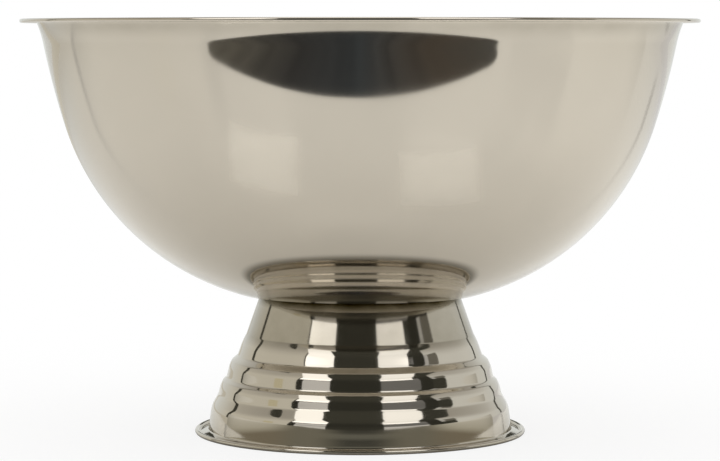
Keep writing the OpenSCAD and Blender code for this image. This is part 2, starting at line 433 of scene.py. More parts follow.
def floor_patch(name, corners, grow, level):
    """A patch of light on the floor between four corners, which are moved outwards by a little."""
    middle = sum(corners, Vector((0, 0))) / len(corners)
    bm = bmesh.new()
    outline = []
    for corner in corners:
        point = corner + (corner - middle).normalized() * grow
        outline.append(bm.verts.new((point.x, point.y, level)))
    bmesh.ops.contextual_create(bm, geom=outline)
    stage_card(bm, name, sun_patch)


for layer, grow in enumerate(PATCH_GROWTH):
    floor_patch("left_floor_patch", LEFT_PATCH, grow, PATCH_LEVEL + layer * PATCH_STEP)
    floor_patch("right_floor_patch", RIGHT_PATCH, grow, PATCH_LEVEL + layer * PATCH_STEP)

# %% [markdown]
# ### Low wall
# Close to the floor the steps of the foot see a low strip of room all round. It is dark in the middle,
# with a paler band at about a quarter of a metre, and turns pale at the sides, more so higher up and
# further back. Three cards would meet in hard lines, so one wall is painted with tones that run into each
# other.

# %% Low wall
LOW_RADIUS = 1.75
LOW_HEIGHT = 0.33
BAND_TOP = 0.4
BAND_TONES = [
    (0.0, (0.12, 0.12, 0.10, 1)),
    (0.16 / BAND_TOP, (0.07, 0.07, 0.0595, 1)),
    (0.21 / BAND_TOP, (0.17, 0.17, 0.1445, 1)),
    (0.25 / BAND_TOP, (0.18, 0.18, 0.153, 1)),
    (0.29 / BAND_TOP, (0.08, 0.08, 0.068, 1)),
    (1.0, (0.05, 0.05, 0.042, 1)),
]
TURN_TONE = (0.22, 0.21, 0.17, 1)
TURN_START = 0.2
TURN_END = 1.1
SIDE_START = 1.25
SIDE_END = 1.74
SIDE_TILT = (0, 0.17, 1)
SIDE_TOP = 0.30
SIDE_TONES = [
    (0.05 / SIDE_TOP, (0.25, 0.22, 0.165, 1)),
    (0.12 / SIDE_TOP, (0.56, 0.54, 0.46, 1)),
    (1.0, (0.85, 0.84, 0.78, 1)),
]

low_cloth, tree = new_material("low_room")
place, along = object_place(tree)
aside = calculate(tree, "ShaderNodeMath", "ABSOLUTE", along["X"])
band = tone_ramp(tree, map_range(tree, along["Z"], 0.0, BAND_TOP), BAND_TONES)
turned = map_range(tree, aside, TURN_START, TURN_END, ease="SMOOTHSTEP")
raised = calculate(tree, "ShaderNodeVectorMath", "DOT_PRODUCT", place, SIDE_TILT)
side = tone_ramp(tree, map_range(tree, raised, 0.0, SIDE_TOP), SIDE_TONES)
outer = map_range(tree, aside, SIDE_START, SIDE_END, ease="SMOOTHSTEP")
emit(tree, mix_colour(tree, outer, mix_colour(tree, turned, band, TURN_TONE), side))
curved_wall("low_wall", low_cloth, angles=(-120, 120), heights=(0.0, LOW_HEIGHT), radius=LOW_RADIUS)

# %% [markdown]
# ### Soft boxes
# Two large soft boxes stand in the dark room, left and right, and make the bright patches on the foot. A
# third hangs above. The two lean outwards, because the patches on the steps do. Stacked upright cards
# would show as stairs, so each box is a few arcs at different heights, bridged into one sheet.

# %% Soft boxes
BOX_RADIUS = 1.3
LEFT_GLOW = [(0.0, 2.2), (0.74, 2.1), (0.80, 1.75), (0.92, 1.75), (1.05, 1.7), (2.0, 1.7)]
RIGHT_GLOW = [(0.0, 2.1), (0.72, 2.0), (0.78, 1.5), (0.92, 1.4), (1.05, 1.5), (1.5, 1.6), (2.0, 1.6)]
LEFT_ROWS = [(0.62, -55, -26), (0.90, -55, -26), (1.30, -64, -35), (2.0, -64, -35)]
RIGHT_ROWS = [(0.64, 18, 48), (0.88, 18, 49), (1.24, 22, 60), (2.0, 22, 60)]
TOP_GLOW = 1.35
TOP_SIZE = 1.2
TOP_DISTANCE = 1.8
TOP_ANGLE = math.radians(88)


def leaning_wall(name, material, rows, radius):
    """A curved wall with leaning ends: arcs at several heights, each bridged to the next one."""
    bm = bmesh.new()
    arcs = []
    for height, start, end in rows:
        older = set(bm.edges)
        place = Matrix.Rotation(math.radians(start), 3, "Z") @ Vector((0, -radius, height))
        bmesh.ops.spin(bm, geom=[bm.verts.new(place)], axis=(0, 0, 1), steps=CARD_STEPS,
                       angle=math.radians(end - start), use_merge=False)
        arcs.append([e for e in bm.edges if e not in older])
    for low, high in zip(arcs, arcs[1:]):
        bmesh.ops.bridge_loops(bm, edges=low + high)
    stage_card(bm, name, material)


leaning_wall("left_soft_box", shaded_glow("left_soft_light", WHITE, LEFT_GLOW), LEFT_ROWS, BOX_RADIUS)
leaning_wall("right_soft_box", shaded_glow("right_soft_light", WHITE, RIGHT_GLOW), RIGHT_ROWS, BOX_RADIUS)
bm = bmesh.new()
bmesh.ops.create_grid(bm, x_segments=1, y_segments=1, size=TOP_SIZE / 2)
bmesh.ops.rotate(bm, verts=bm.verts, matrix=Matrix.Rotation(math.pi / 2, 3, "X"))
bmesh.ops.translate(bm, verts=bm.verts, vec=(0, -TOP_DISTANCE, 0))
bmesh.ops.rotate(bm, verts=bm.verts, matrix=Matrix.Rotation(-TOP_ANGLE, 3, "X"))
stage_card(bm, "top_soft_box", glow("top_soft_light", WHITE, TOP_GLOW))

# %% [markdown]
# Under the soft boxes the room is dimmer, but not dark: the patches on the lower steps have grey ends.
# Two low panels behind the boxes give them that, with tones that change with height.

# %% Panels under the soft boxes
PANEL_RADIUS = 1.8
LEFT_DIM = [(0.0, 0.22), (0.30, 0.80), (0.42, 0.80), (0.48, 0.50), (0.58, 0.76), (1.0, 0.8)]
RIGHT_DIM = [(0.0, 0.22), (0.30, 0.80), (0.42, 0.80), (0.48, 0.16), (0.58, 0.22), (1.0, 0.25)]

left_dim = shaded_glow("left_dim", WHITE, LEFT_DIM)
right_dim = shaded_glow("right_dim", WHITE, RIGHT_DIM)
curved_wall("left_low_wall", left_dim, angles=(-51, -26), heights=(0.3, 0.80), radius=PANEL_RADIUS)
curved_wall("right_low_wall", right_dim, angles=(18, 54), heights=(0.3, 1.00), radius=PANEL_RADIUS)

# %% [markdown]
# ### Bands and lines
# Towards its sides the steel squeezes a wide part of the room into thin lines. A few narrow cards give
# these: dark bands at the sides and behind, one shaded and one pale line on the right, and a
# straw-coloured one on the left. The two lowest strips are the far ends of the table, where it meets the
# room.

# %% Bands and lines
WARM = (1.0, 0.96, 0.84, 1)
STRAW = (1.0, 0.93, 0.68, 1)
BAND_RADIUS = 1.9
LINE_RADIUS = 1.85
HORIZON = (0.0, 0.06)

dark_cloth = glow("dark_room", OLIVE, strength=0.06)
curved_wall("right_dark", dark_cloth, angles=(66, 80), heights=(0.3, 0.72), radius=BAND_RADIUS)
curved_wall("left_dark", dark_cloth, angles=(-88, -74), heights=(1.38, 1.75), radius=BAND_RADIUS)
curved_wall("right_high", dark_cloth, angles=(60, 83), heights=(1.38, 1.80), radius=BAND_RADIUS)
curved_wall("back_dark", dark_cloth, angles=(165, 195), heights=(0.37, 0.80), radius=BAND_RADIUS)
curved_wall("left_gap", dark_cloth, angles=(-123, -119), heights=(0.0, 2.0), radius=BAND_RADIUS)
curved_wall("right_gap", dark_cloth, angles=(137, 140), heights=(0.0, 2.0), radius=BAND_RADIUS)

shade_cloth = glow("shaded_wall", WARM, strength=0.20)
line_light = glow("right_line", WHITE, strength=0.6)
straw_cloth = glow("straw_wall", STRAW, strength=0.70)
curved_wall("right_shade", shade_cloth, angles=(70.5, 82), heights=(0.72, 1.02), radius=BAND_RADIUS)
curved_wall("right_line", line_light, angles=(66.5, 70.5), heights=(0.74, 1.02), radius=LINE_RADIUS)
curved_wall("left_straw", straw_cloth, angles=(-79, -70), heights=(0.38, 0.60), radius=LINE_RADIUS)

left_horizon = glow("left_horizon", WARM, strength=0.68)
right_horizon = glow("right_horizon", WHITE, strength=0.76)
curved_wall("left_far_floor", left_horizon, angles=(-165, -120), heights=HORIZON, radius=LOW_RADIUS)
curved_wall("right_far_floor", right_horizon, angles=(120, 165), heights=HORIZON, radius=LOW_RADIUS)

# %% [markdown]
# ## Steel finishes
# A mirror polish is a metal with a very low roughness. What keeps it from looking like computer chrome is
# the work left in it: fine rings from the spinning lathe, a soft haze where the polishing wheel passed,
# and a slight waviness that bends straight reflections. The rings follow the distance from the axis and
# the height, so they run round every turned surface. All three are kept faint, because the real sheet is
# bright.

# %% Turned-metal coordinates
def ring_coordinates(tree):
    """Return the object coordinates, and a vector that is the same all the way round the axis."""
    place, along = object_place(tree)
    flat = calculate(tree, "ShaderNodeVectorMath", "MULTIPLY", place, (1, 1, 0))
    radius = calculate(tree, "ShaderNodeVectorMath", "LENGTH", flat)
    return place, add_node(tree, "ShaderNodeCombineXYZ", x=radius, z=along["Z"]).outputs[0]


def bump(tree, height, depth, normal=None):
    """A bump of a given depth in metres, laid over another one if it is given."""
    node = add_node(tree, "ShaderNodeBump", height=height, strength=1.0, distance=depth)
    if normal:
        tree.links.new(normal, node.inputs["Normal"])
    return node.outputs["Normal"]


def metal(tree, colour, roughness, normal):
    """End a graph in a metal."""
    steel = add_node(tree, "ShaderNodeBsdfPrincipled", base_color=colour, metallic=1.0,
                     roughness=roughness, normal=normal)
    add_node(tree, "ShaderNodeOutputMaterial", surface=steel.outputs[0])


# %% [markdown]
# Where shade falls, on the bowl's bottom beside the foot, on a thin strip under the rim and on the top
# of the foot's neck, the steel gets painted shade, a darker tint, and a little more roughness as well.
# A mask by height or radius would mark the inside too. So each point of the mesh carries an amount,
# from 0 where no shade is painted to more than 1 in the corners, and the finish reads it and breaks it up
# with a fine noise.

# %% Polished steel
# painted shade and dullness: the layer's name, the tint of the painted shade and the extra roughness
DULL_SHADE_LAYER = "dull_and_painted_shade"
PAINTED_SHADE_TINT = (0.30, 0.27, 0.21, 1)
DULL_ROUGHNESS = 0.04
SHADE_BREAKUP = (0.85, 1.15)


def polished_steel(name, bright, dull, sheen, ring_scale, ring_depth, wave_depth):
    """Mirror-polished spun sheet: two close tints, a range of roughness, rings, a slight waviness, painted
    shade.
    """
    material, tree = new_material(name)
    place, ring = ring_coordinates(tree)
    haze = noise(tree, place, scale=16.0, detail=3.0)
    rings = noise(tree, ring, scale=ring_scale, detail=2.0)
    waves = noise(tree, place, scale=7.0, detail=1.0)
    tint = mix_colour(tree, spread(tree, haze, 0.0, 1.0), bright, dull)
    # painted shade: the marked places get a darker tint, and a higher roughness as well
    mark = add_node(tree, "ShaderNodeAttribute", {"attribute_name": DULL_SHADE_LAYER}).outputs["Fac"]
    shade_breakup = spread(tree, noise(tree, place, scale=90.0, detail=3.0), *SHADE_BREAKUP)
    shade_and_dullness = calculate(tree, "ShaderNodeMath", "MULTIPLY", mark, shade_breakup)
    tone = mix_colour(tree, shade_and_dullness, tint, PAINTED_SHADE_TINT, clamp=False)
    gloss = calculate(tree, "ShaderNodeMath", "MULTIPLY_ADD", shade_and_dullness, DULL_ROUGHNESS,
                      spread(tree, haze, *sheen))
    metal(tree, tone, gloss, bump(tree, rings, ring_depth, bump(tree, waves, wave_depth)))
    return material


bowl_steel = polished_steel(
    "bowl_polish", bright=(0.595, 0.545, 0.465, 1), dull=(0.570, 0.522, 0.446, 1), sheen=(0.055, 0.085),
    ring_scale=700.0, ring_depth=0.15e-6, wave_depth=20e-6)
foot_steel = polished_steel(
    "foot_polish", bright=(0.585, 0.540, 0.465, 1), dull=(0.550, 0.508, 0.438, 1), sheen=(0.045, 0.075),
    ring_scale=900.0, ring_depth=0.15e-6, wave_depth=8e-6)
print("polished finishes:", bowl_steel.name, foot_steel.name)

# %% [markdown]
# The inside of the foot and the fixing are never polished. They keep the marks of the tool: rings of the
# lathe on the foot's inside, the stud and the nut, a mottled skin on the stamped and drawn washers. One
# function makes all five, and they differ in tint, roughness and the size of their rings.

# %% Plain steel
def plain_steel(name, bright, dull, sheen, ring_scale, ring_depth):
    """Turned, stamped or drawn steel that nobody polished: rougher, with clear rings and a mottled tint."""
    material, tree = new_material(name)
    place, ring = ring_coordinates(tree)
    mottle = noise(tree, place, scale=180.0, detail=4.0)
    rings = noise(tree, ring, scale=ring_scale, detail=3.0)
    tint = mix_colour(tree, spread(tree, mottle, 0.0, 1.0), bright, dull)
    relief = bump(tree, mottle, ring_depth / 2, bump(tree, rings, ring_depth))
    metal(tree, tint, spread(tree, rings, *sheen), relief)
    return material


inside_steel = plain_steel(
    "foot_inside_spun", bright=(0.50, 0.47, 0.42, 1), dull=(0.43, 0.41, 0.37, 1), sheen=(0.20, 0.34),
    ring_scale=1100.0, ring_depth=6e-6)
stud_steel = plain_steel(
    "stud_turned", bright=(0.56, 0.55, 0.53, 1), dull=(0.42, 0.41, 0.40, 1), sheen=(0.25, 0.40),
    ring_scale=3000.0, ring_depth=2e-6)
washer_steel = plain_steel(
    "washer_stamped", bright=(0.58, 0.57, 0.54, 1), dull=(0.47, 0.46, 0.44, 1), sheen=(0.22, 0.38),
    ring_scale=1600.0, ring_depth=3e-6)
spring_steel = plain_steel(
    "spring_drawn", bright=(0.33, 0.33, 0.33, 1), dull=(0.24, 0.24, 0.25, 1), sheen=(0.28, 0.45),
    ring_scale=2500.0, ring_depth=2e-6)
nut_steel = plain_steel(
    "nut_cut", bright=(0.57, 0.56, 0.53, 1), dull=(0.45, 0.44, 0.42, 1), sheen=(0.22, 0.36),
    ring_scale=2200.0, ring_depth=3e-6)
print("plain finishes: foot inside, stud, washer, spring washer, nut")

# %% [markdown]
# ## Drawing profiles
# A spun sheet is a profile turned about an axis. A profile can be drawn with operators alone: one vertex
# is the pen, and a spin about an arc's centre carries it round a bend. A straight run is a spin that
# doesn't turn and moves on a little at each step, because short steps keep the shading of the run even.
# The profile lies in the X-Z plane, and one last spin about Z turns it into the piece.

# %% Profile pen
ARC_STEP = 1.2 * MM
RUN_STEP = 1.2 * MM
BEND_STEPS = 7


def polar(radius, angle):
    """A point of the profile plane from a length and an angle."""
    return Vector((radius * math.cos(angle), radius * math.sin(angle)))


def heading(vector):
    """The angle of a vector of the profile plane."""
    return math.atan2(vector.y, vector.x)


def start_profile(point):
    """A new mesh with the pen at its first point, and a layer for painted shade and dullness."""
    bm = bmesh.new()
    bm.verts.layers.float.new(DULL_SHADE_LAYER)
    return bm, bm.verts.new((point.x, 0, point.y))


def sweep(bm, pen, centre, start, end, step=ARC_STEP):
    """Carry the pen round an arc's centre, from one angle to another."""
    arm = Vector((pen.co.x, pen.co.z)) - centre
    steps = max(BEND_STEPS, round(arm.length * abs(end - start) / step))
    swept = bmesh.ops.spin(bm, geom=[pen], cent=(centre.x, 0, centre.y), axis=(0, -1, 0), angle=end - start,
                           steps=steps, use_merge=False, use_duplicate=False)
    return swept["geom_last"][0]


def run(bm, pen, end, step=RUN_STEP):
    """Carry the pen straight to a point."""
    way = Vector((end.x, 0, end.y)) - pen.co
    steps = max(1, round(way.length / step))
    swept = bmesh.ops.spin(bm, geom=[pen], axis=(0, -1, 0), angle=0, dvec=way / steps, steps=steps,
                           use_merge=False, use_duplicate=False)
    return swept["geom_last"][0]


# %% [markdown]
# A finished profile is marked for painted shade and dullness, turned, and closed up. A spin hands a
# vertex's mark on to the ones that it makes, so a profile is marked only while the pen stands somewhere
# else.
# Every piece ends in the same way: smooth faces, sharp edges by angle, its materials, and its place in
# the frame.

# %% Turning and finishing a piece
MERGE = 0.002 * MM
SHARP = math.radians(40)


def mark_dull_and_shaded(bm, stops):
    """Mark a profile for painted shade and dullness, by an amount that changes evenly between given radii.
    """
    layer = bm.verts.layers.float[DULL_SHADE_LAYER]
    for (start, first), (end, last) in zip(stops, stops[1:]):
        for vert in bm.verts:
            share = (vert.co.x - start) / (end - start)
            if 0 <= share <= 1:
                vert[layer] = first + share * (last - first)


def turn_profile(bm, steps):
    """Spin the whole profile once round the axis and close it up."""
    bmesh.ops.spin(bm, geom=bm.verts[:] + bm.edges[:], axis=(0, 0, 1), angle=2 * math.pi, steps=steps,
                   use_merge=True, use_duplicate=False)
    bmesh.ops.remove_doubles(bm, verts=bm.verts, dist=MERGE)
    bmesh.ops.recalc_face_normals(bm, faces=bm.faces)


def make_piece(bm, name, node, slot, *materials):
    """Turn a bmesh into a piece that stands for a node of the frame and rides on its body."""
    for face in bm.faces:
        face.smooth = True
    for edge in bm.edges:
        edge.smooth = edge.calc_face_angle(0) < SHARP
    mesh = bpy.data.meshes.new(name)
    bm.to_mesh(mesh)
    bm.free()
    for material in materials:
        mesh.materials.append(material)
    piece = bpy.data.objects.new(name, mesh)
    bpy.context.scene.collection.objects.link(piece)
    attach(piece, "root")
    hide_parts(node)
    size = [round(v / MM, 2) for v in piece.dimensions]
    mesh.calc_loop_triangles()
    print(name, "size in mm:", size, "triangles:", len(mesh.loop_triangles))


# %% [markdown]
# ## Bowl
# The bowl is one round of sheet, spun over a form. A flat seat in the middle stands on the foot. From
# there the wall is arcs that meet without a corner: a small bend, a shallow bottom, a round belly, a long
# wall and a short flare at the mouth. Then a tight bend turns the sheet out into a flat rim, and the edge
# is curled under so that nobody is cut. A freehand curve would leave faint dents, which a mirror shows,
# and arcs leave none.

# %% Bowl outline
bowl_low, bowl_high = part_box("bowl")
rim_radius = bowl_high.x
rim_top = bowl_high.z
base_height = bowl_low.z
SHEET = 0.8 * MM
RIM_WIDTH = 13.1 * MM
RIM_CURL = 1.1 * MM
RIM_BEND = 1.5 * MM
FLARE_HEIGHT = 12.7 * MM
FLARE_ARC = 59 * MM
WALL_ARC = 450 * MM
WALL_LEAN = math.radians(11.4)
BELLY_ARC = 142.8 * MM
BOTTOM_ARC = 248 * MM
SEAT_CUT = 9 * MM
SEAT_BEND = 6 * MM
UP = math.pi / 2

rim_under = rim_top - SHEET
lean = polar(1, -WALL_LEAN)
flare_low = Vector((rim_radius - RIM_WIDTH, rim_under - FLARE_HEIGHT))
wall_centre = flare_low - WALL_ARC * lean
flare_centre = flare_low + FLARE_ARC * lean
bottom_centre = Vector((0, base_height - SEAT_CUT + BOTTOM_ARC))
seat_drop = bottom_centre.y - base_height - SEAT_BEND
seat_centre = Vector((math.sqrt((BOTTOM_ARC - SEAT_BEND) ** 2 - seat_drop ** 2), base_height + SEAT_BEND))
belly_centre = min(intersect_sphere_sphere_2d(wall_centre, WALL_ARC - BELLY_ARC,
                                              bottom_centre, BOTTOM_ARC - BELLY_ARC), key=lambda p: p.y)
bend_level = rim_under - RIM_BEND
bend_drop = bend_level - flare_centre.y
bend_centre = Vector((flare_centre.x - math.sqrt((FLARE_ARC - RIM_BEND) ** 2 - bend_drop ** 2), bend_level))
seat_end = heading(seat_centre - bottom_centre)
belly_low = heading(belly_centre - bottom_centre)
belly_top = heading(belly_centre - wall_centre)
flare_top = heading(bend_centre - flare_centre)
wall_arcs = [
    (seat_centre, -UP, seat_end),
    (bottom_centre, seat_end, belly_low),
    (belly_centre, belly_low, belly_top),
    (wall_centre, belly_top, -WALL_LEAN),
    (flare_centre, math.pi - WALL_LEAN, flare_top),
    (bend_centre, flare_top, UP),
]
print("bowl wall:", len(wall_arcs), "arcs, flat seat", round(2 * seat_centre.x / MM, 1), "mm across")

# %% [markdown]
# The pen draws the underside from the axis to the end of the curl, crosses the sheet's cut edge and comes
# back along the inside. That gives the sheet its true thickness everywhere, in the curl too, where a
# thickness added afterwards would cut into itself. The bottom beside the foot and a strip under the rim
# get painted shade, as shade falls there, and a duller polish.

# %% Bowl
BOWL_STEPS = 240
SEAT_STEP = 4 * MM
WALL_STEP = 2 * MM
CURL_INNER_STEP = 0.15 * MM
CURL_OUTER_STEP = 0.2 * MM
CURL_END = math.radians(-165)
# painted shade and dullness by radius: most beside the foot, a little under the rim
DULL_SHADE_BOTTOM = [(0, 1.6), (57 * MM, 1.6), (64 * MM, 0.8), (76 * MM, 0.6), (88 * MM, 0.0)]
DULL_SHADE_UNDER_RIM = [(177.4 * MM, 0.0), (179.2 * MM, 0.35), (180.4 * MM, 0.35)]

curl_centre = Vector((rim_radius - RIM_CURL, rim_top - RIM_CURL))
bm, pen = start_profile(Vector((0, base_height)))
pen = run(bm, pen, Vector((seat_centre.x, base_height)), SEAT_STEP)
for centre, start, end in wall_arcs:
    pen = sweep(bm, pen, centre, start, end, WALL_STEP)
mark_dull_and_shaded(bm, DULL_SHADE_BOTTOM)
mark_dull_and_shaded(bm, DULL_SHADE_UNDER_RIM)
pen = run(bm, pen, curl_centre + polar(RIM_CURL - SHEET, UP))
pen = sweep(bm, pen, curl_centre, UP, CURL_END, CURL_INNER_STEP)
pen = run(bm, pen, curl_centre + polar(RIM_CURL, CURL_END))
pen = sweep(bm, pen, curl_centre, CURL_END, UP, CURL_OUTER_STEP)
pen = run(bm, pen, bend_centre + polar(RIM_BEND + SHEET, UP))
for centre, start, end in reversed(wall_arcs):
    pen = sweep(bm, pen, centre, end, start, WALL_STEP)
pen = run(bm, pen, Vector((0, base_height + SHEET)), SEAT_STEP)
turn_profile(bm, BOWL_STEPS)
make_piece(bm, "bowl_shell", "bowl", "bowl_steel", bowl_steel)

# %% [markdown]
# ## Foot
# The foot is spun from one sheet too: a flat top under the bowl's seat, a sloping stem with a crease, two
# sharp steps, one soft step, a short plinth wall and a flange with a rolled edge. Every corner of spun
# sheet is a bend. So the outline is worked out as sharp corners, from the flange up, and each corner then
# gets its own radius, which is easier to set right than a string of arcs.

# %% Foot outline
PLINTH_RADIUS = 85.6 * MM
FLANGE_ROOT = 2.0 * MM
PLINTH_LEAN = math.radians(6.3)
SHOULDER_LEAN = math.radians(9.5)
TIER_LEAN = math.radians(13.5)
NOSE_LEAN = math.radians(26)
STEM_LEAN = math.radians(19.5)
PLINTH_HEIGHT = 6.8 * MM
SHOULDER_HEIGHT = 6.8 * MM
LOWER_TIER = 4.8 * MM
UPPER_TIER = 6.6 * MM
NOSE_HEIGHT = 3.0 * MM
STEM_HEIGHT = 7.5 * MM
SOFT_STEP = Vector((-3.6, 6.4)) * MM
LOWER_STEP = Vector((-2.0, 1.7)) * MM
UPPER_STEP = Vector((-3.3, 2.8)) * MM
CREASE = Vector((-2.3, 4.4)) * MM
SEAT_GAP = 0.08 * MM


def climb_by(corner, height, lean_angle):
    """The next corner up a leaning wall."""
    return corner + Vector((-height * math.tan(lean_angle), height))


plinth_low = Vector((PLINTH_RADIUS, FLANGE_ROOT))
plinth_mid = climb_by(plinth_low, PLINTH_HEIGHT, PLINTH_LEAN)
plinth_top = climb_by(plinth_mid, SHOULDER_HEIGHT, SHOULDER_LEAN)
lower_tier_low = plinth_top + SOFT_STEP
lower_nose = climb_by(lower_tier_low, LOWER_TIER, TIER_LEAN)
lower_edge = climb_by(lower_nose, NOSE_HEIGHT, NOSE_LEAN)
upper_tier_low = lower_edge + LOWER_STEP
upper_nose = climb_by(upper_tier_low, UPPER_TIER, TIER_LEAN)
upper_edge = climb_by(upper_nose, NOSE_HEIGHT, NOSE_LEAN)
stem_low = upper_edge + UPPER_STEP
crease_low = climb_by(stem_low, STEM_HEIGHT, STEM_LEAN)
crease_top = crease_low + CREASE
web_level = base_height - SEAT_GAP
stem_top = climb_by(crease_top, web_level - crease_top.y, STEM_LEAN)
print("stem top at", [round(v / MM, 2) for v in stem_top])

# %% [markdown]
# The flange's edge is rolled into a bead, on which the object stands. The bead has a narrow flat where it
# meets the table, so that the foot stands steadily. A small bend joins the flange to the bead, and its
# centre follows from the two circles that touch there.

# %% Rolled edge of the foot
foot_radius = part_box("foot")[1].x
ROLL = 1.35 * MM
STAND_WIDTH = 1.0 * MM
FLANGE_EDGE = 0.95 * MM
LIP_BEND = 0.45 * MM

roll_centre = Vector((foot_radius - ROLL, math.sqrt(ROLL ** 2 - (STAND_WIDTH / 2) ** 2)))
stand_half = math.asin(STAND_WIDTH / 2 / ROLL)
lip_level = FLANGE_EDGE + LIP_BEND
lip_centre = Vector((roll_centre.x - math.sqrt((ROLL + LIP_BEND) ** 2 - (lip_level - roll_centre.y) ** 2),
                     lip_level))
lip_angle = heading(lip_centre - roll_centre)
flange_fall = math.atan2(FLANGE_ROOT - FLANGE_EDGE, lip_centre.x - PLINTH_RADIUS)
flange_edge = lip_centre + polar(LIP_BEND, -UP - flange_fall)
print("flange ends at", [round(v / MM, 2) for v in flange_edge])

# %% [markdown]
# The pen now goes down the outline: a run up to each bend and a sweep round it. The bends of the two
# sharp steps are tight, and those of their noses and of the soft step are wide, which is what makes a
# step look soft.

# %% Foot bends
WEB_HOLE = 4.2 * MM
TOP_BEND = 2 * MM
CREASE_ROOT = 5 * MM
CREASE_NOSE = 35 * MM
STEP_BEND = 2.5 * MM
NOSE_BEND = 13 * MM
SOFT_ROOT = 7 * MM
SOFT_NOSE = 12 * MM
SHOULDER_BEND = 120 * MM
PLINTH_BEND = 1.0 * MM


def bend(bm, pen, corner, after, radius):
    """Run towards a corner, turn round it on a bend of a given radius, and face the next corner."""
    into = (corner - Vector((pen.co.x, pen.co.z))).normalized()
    out = (after - corner).normalized()
    turn = math.atan2(into.cross(out), into.dot(out))
    begin = corner - radius * math.tan(abs(turn) / 2) * into
    centre = begin + math.copysign(radius, turn) * Vector((-into.y, into.x))
    pen = run(bm, pen, begin)
    start = heading(begin - centre)
    return sweep(bm, pen, centre, start, start + turn)


corners = [stem_top, crease_top, crease_low, stem_low, upper_edge, upper_nose, upper_tier_low,
           lower_edge, lower_nose, lower_tier_low, plinth_top, plinth_mid, plinth_low, flange_edge]
radii = [TOP_BEND, CREASE_ROOT, CREASE_NOSE, STEP_BEND, STEP_BEND, NOSE_BEND, STEP_BEND,
         STEP_BEND, NOSE_BEND, SOFT_ROOT, SOFT_NOSE, SHOULDER_BEND, PLINTH_BEND]
bm, pen = start_profile(Vector((WEB_HOLE, web_level)))
pen = run(bm, pen, stem_top - Vector((2 * TOP_BEND, 0)), SEAT_STEP)
for corner, after, radius in zip(corners, corners[1:], radii):
    pen = bend(bm, pen, corner, after, radius)
pen = run(bm, pen, flange_edge)
print("foot profile:", len(bm.verts), "points down to the flange's edge")

# %% [markdown]
# The corner under the bowl gets painted shade and a duller polish, down to the crease. The
# outside is turned first and then given its thickness inwards, for which the rolled edge leaves enough
# room. The new inner faces get the plain finish.

# %% Foot
FOOT_STEPS = 200
ROLL_STEP = 0.3 * MM
ROLL_END = math.radians(-115)
# painted shade and dullness by radius: most under the bowl, fading out at the crease
DULL_SHADE_NECK = [(WEB_HOLE, 1.8), (stem_top.x + 0.4 * MM, 1.8), (stem_top.x + 2.0 * MM, 0.5),
             (crease_top.x, 0.6), (crease_low.x, 0.0)]

mark_dull_and_shaded(bm, DULL_SHADE_NECK)
pen = sweep(bm, pen, lip_centre, -UP - flange_fall, lip_angle - math.pi)
pen = sweep(bm, pen, roll_centre, lip_angle, stand_half - UP, ROLL_STEP)
pen = run(bm, pen, roll_centre + polar(ROLL, -UP - stand_half))
pen = sweep(bm, pen, roll_centre, -UP - stand_half, ROLL_END)
turn_profile(bm, FOOT_STEPS)
outside = set(bm.faces)
bmesh.ops.solidify(bm, geom=bm.faces[:], thickness=SHEET)
for face in bm.faces:
    face.material_index = 0 if face in outside else 1
print("foot faces:", len(outside), "polished of", len(bm.faces))
make_piece(bm, "foot_shell", "foot", "foot_steel", foot_steel, inside_steel)

# %% [markdown]
# ## Stud
# The stud is welded to the bowl by its flange and reaches down through the foot. Its thread could be a
# stack of rings, which is not a thread, or a screw modifier. Here it is a spin that climbs: one tooth's
# profile goes round the axis and rises by one pitch in each turn. The ragged ends are cut off level and
# closed, and the lower one is drawn in as the lead that lets a nut start.

# %% Stud thread
stud_low, stud_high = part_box("stud")
THREAD = 3 * MM
CORE = 2.4 * MM
PITCH = 1 * MM
TOOTH = ((CORE, 0.12), (THREAD, 0.44), (THREAD, 0.56), (CORE, 0.88), (CORE, 1.0))
THREAD_STEPS = 32
SPARE_TURNS = 2
FLANGE = 0.72 * MM
UNDERCUT = 0.4 * MM
LEAD = 0.8
NEAR_END = 0.01 * MM

thread_end = stud_high.z - FLANGE - UNDERCUT
turns = math.ceil((thread_end - stud_low.z) / PITCH) + SPARE_TURNS
bm, pen = start_profile(Vector((CORE, stud_low.z - PITCH)))
for radius, rise in TOOTH:
    pen = run(bm, pen, Vector((radius, stud_low.z + (rise - 1) * PITCH)), PITCH)
bmesh.ops.spin(bm, geom=bm.verts[:] + bm.edges[:], axis=(0, 0, 1), angle=2 * math.pi * turns,
               dvec=(0, 0, PITCH / THREAD_STEPS), steps=THREAD_STEPS * turns, use_merge=False)
bmesh.ops.remove_doubles(bm, verts=bm.verts, dist=MERGE)


def cut_level(bm, point, outward):
    """Cut off what lies beyond a plane and close the cut."""
    cut = bmesh.ops.bisect_plane(bm, geom=bm.verts[:] + bm.edges[:] + bm.faces[:], plane_co=point,
                                 plane_no=outward, clear_outer=True)
    cut_edges = [e for e in cut["geom_cut"] if isinstance(e, bmesh.types.BMEdge)]
    bmesh.ops.edgeloop_fill(bm, edges=cut_edges)


cut_level(bm, (0, 0, stud_low.z), (0, 0, -1))
cut_level(bm, (0, 0, thread_end), (0, 0, 1))
lead = [v for v in bm.verts if v.co.z < stud_low.z + NEAR_END]
bmesh.ops.scale(bm, verts=lead, vec=(LEAD, LEAD, 1))
print("stud thread:", turns - SPARE_TURNS, "turns and", len(bm.faces), "faces")

# %% [markdown]
# The flange is a thin disc with broken edges. It is drawn from the axis outwards, down its edge and back
# to the thread, and turned into the same mesh, because stud and flange are one turned piece.

# %% Stud flange
flange_radius = stud_high.x
EDGE = 0.12 * MM
FLANGE_STEPS = 64

